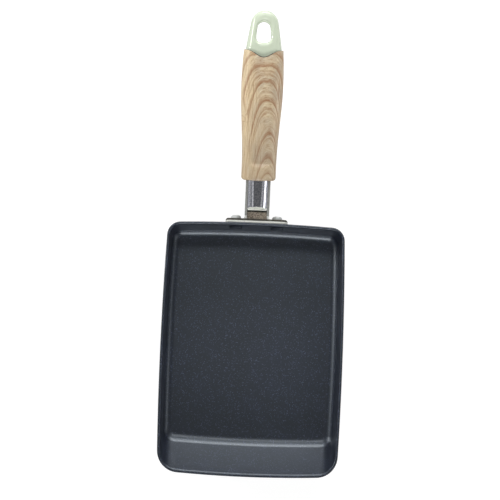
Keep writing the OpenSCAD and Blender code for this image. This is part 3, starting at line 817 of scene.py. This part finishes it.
def easedCopy(node, name, finish, slot, radius):
    clearSelection()
    piece = bpy.data.objects.new(name, nodes[node].data.copy())
    bpy.context.collection.objects.link(piece)
    piece.select_set(True)
    bpy.context.view_layer.objects.active = piece
    piece.data.materials.clear()
    bpy.ops.object.mode_set(mode="EDIT")
    bpy.ops.mesh.select_all(action="SELECT")
    bpy.ops.mesh.remove_doubles(threshold=0.002 * mm)
    bpy.ops.mesh.customdata_custom_splitnormals_clear()
    bpy.ops.mesh.dissolve_limited(angle_limit=math.radians(1))
    bpy.ops.object.mode_set(mode="OBJECT")
    applyModifier(piece, "BEVEL", width=radius * mm, segments=3, limit_method="ANGLE", angle_limit=math.radians(30))
    finishPiece(piece, node, slot, finishes[finish], smooth=32)
    return piece


for node, settings in metalSet.items():
    easedCopy(node, *settings)
# Torn edges where the ears were sheared, ground ones along the channel, and bright faces that catch the light
bracket = bpy.data.objects["bracketChannel"]
bracket.data.materials.append(finishes["sheared"])
bracket.data.materials.append(finishes["cut"])
for face in bracket.data.polygons:
    if face.normal.z > 0.3 and face.center.z > 0.02:
        face.material_index = 1 if abs(face.center.x) > 10.6 * mm or face.center.y < 88.5 * mm else 2
sleeve = bpy.data.objects["sleeveTube"]
sleeve.data.materials.append(finishes["buffed"])
for face in sleeve.data.polygons:
    face.material_index = int(face.center.y < 98.5 * mm and (face.normal.y < -0.5 or face.normal.z > 0.9))
# Painted shade: the block's faces towards the grip, and its band beyond the cut, take the dark torn-steel finish as the
# shadow under the sleeve's lip
block = bpy.data.objects["screwBlock"]
block.data.materials.append(finishes["sheared"])
clearSelection()
block.select_set(True)
bpy.context.view_layer.objects.active = block
bpy.ops.object.mode_set(mode="EDIT")
bpy.ops.mesh.select_all(action="SELECT")
bpy.ops.mesh.bisect(plane_co=(0, 93.2 * mm, 27 * mm), plane_no=(0, 0.966, 0.259))
bpy.ops.object.mode_set(mode="OBJECT")
for face in block.data.polygons:
    face.material_index = int(face.normal.y > 0.2 or face.center.y > 93.2 * mm)
plate = bpy.data.objects["wallPlate"]
plate.data.materials.append(finishes["faced"])
for face in plate.data.polygons:
    face.material_index = int(face.normal.z > 0.5)
for node in ("handle_screw", "flat_washer", "spring_washer"):
    nodes[node].data.materials.clear()
    nodes[node].data.materials.append(finishes["screw"])
print("metal pieces made")


# Floor, lamps and world
stageSet = {
    "floorSize": 8.0,
    "floorColour": "#f4f4f3",
    "floorReflected": "#b4b4ba",
    "floorSeen": "#848484",      # the camera sees a darker floor, lifted again, so that its shadows stay faint
    "floorLift": 0.885,
    "lamps": {
        # direction from the handle's end towards the left and elevation in degrees, distance in m,
        # width and height in m, and power
        "back": (-5, 24, 1.5, (1.2, 0.4), 15.5),
        "backHigh": (0, 62, 1.5, (0.9, 0.25), 4.5),
        "left": (72, 23, 1.5, (0.6, 0.14), 7.5),
        "over": (0, 89, 1.3, (0.12, 0.12), 0.2),
        "panel": (-103, 18, 1.5, (0.9, 0.5), 2.0),
        "edge": (-100, 14, 1.5, (0.9, 0.08), 1.2),
        "front": (180, 26, 1.5, (0.9, 0.4), 10.5),
        "leftFill": (104, 17, 1.5, (0.9, 0.65), 0.27),
        "leftLine": (111, 39, 1.5, (0.9, 0.3), 0.4),
        "rightFill": (-114, 42, 1.5, (0.8, 0.4), 0.25),
    },
    # brightness of the world by the sine of the elevation
    "sky": ((0.06, 0.46), (0.2, 0.2), (0.7, 0.14)),
}


def makeStage():
    clearSelection()
    bpy.ops.mesh.primitive_plane_add(size=stageSet["floorSize"])
    floor = bpy.context.active_object
    floor.name = "floor"
    material, tree, shader, place = newMaterial("paleFloor", {"Base Color": linear(stageSet["floorColour"]),
                                                              "Roughness": 0.9, "Emission Color": (1, 1, 1, 1)})
    path = addNode(tree, "ShaderNodeLightPath").outputs
    seen = calc(tree, "MAXIMUM", path["Is Camera Ray"], path["Is Transmission Ray"])
    tree.links.new(calc(tree, "MULTIPLY", seen, stageSet["floorLift"]), shader.inputs["Emission Strength"])
    # Bright metal beside it reflects the floor's darker far end
    tone = blendColours(tree, path["Is Glossy Ray"], linear(stageSet["floorColour"]), linear(stageSet["floorReflected"]))
    tree.links.new(blendColours(tree, seen, tone, linear(stageSet["floorSeen"])), shader.inputs["Base Color"])
    floor.data.materials.append(material)
    for name, (turn, rise, distance, size, power) in stageSet["lamps"].items():
        turn, rise = math.radians(turn), math.radians(rise)
        away = Vector((-math.sin(turn) * math.cos(rise), math.cos(turn) * math.cos(rise), math.sin(rise))) * distance
        data = bpy.data.lights.new(name, "AREA")
        data.shape = "RECTANGLE"
        data.size, data.size_y = size
        data.energy = power
        lamp = bpy.data.objects.new(name, data)
        bpy.context.collection.objects.link(lamp)
        lamp.location = away + Vector((0, 0.05, 0))
        lamp.rotation_euler = away.to_track_quat("Z", "Y").to_euler()


def makeWorld():
    # A white horizon that darkens overhead, as under a studio's dark ceiling
    world = bpy.data.worlds.new("studio")
    bpy.context.scene.world = world
    world.use_nodes = True
    tree = world.node_tree
    place = addNode(tree, "ShaderNodeTexCoord").outputs["Generated"]
    height = addNode(tree, "ShaderNodeSeparateXYZ", links={"Vector": place}).outputs["Z"]
    glow = ramp(tree, height, stageSet["sky"])
    tree.links.new(glow, tree.nodes["Background"].inputs["Color"])


makeStage()
makeWorld()
print("stage set")
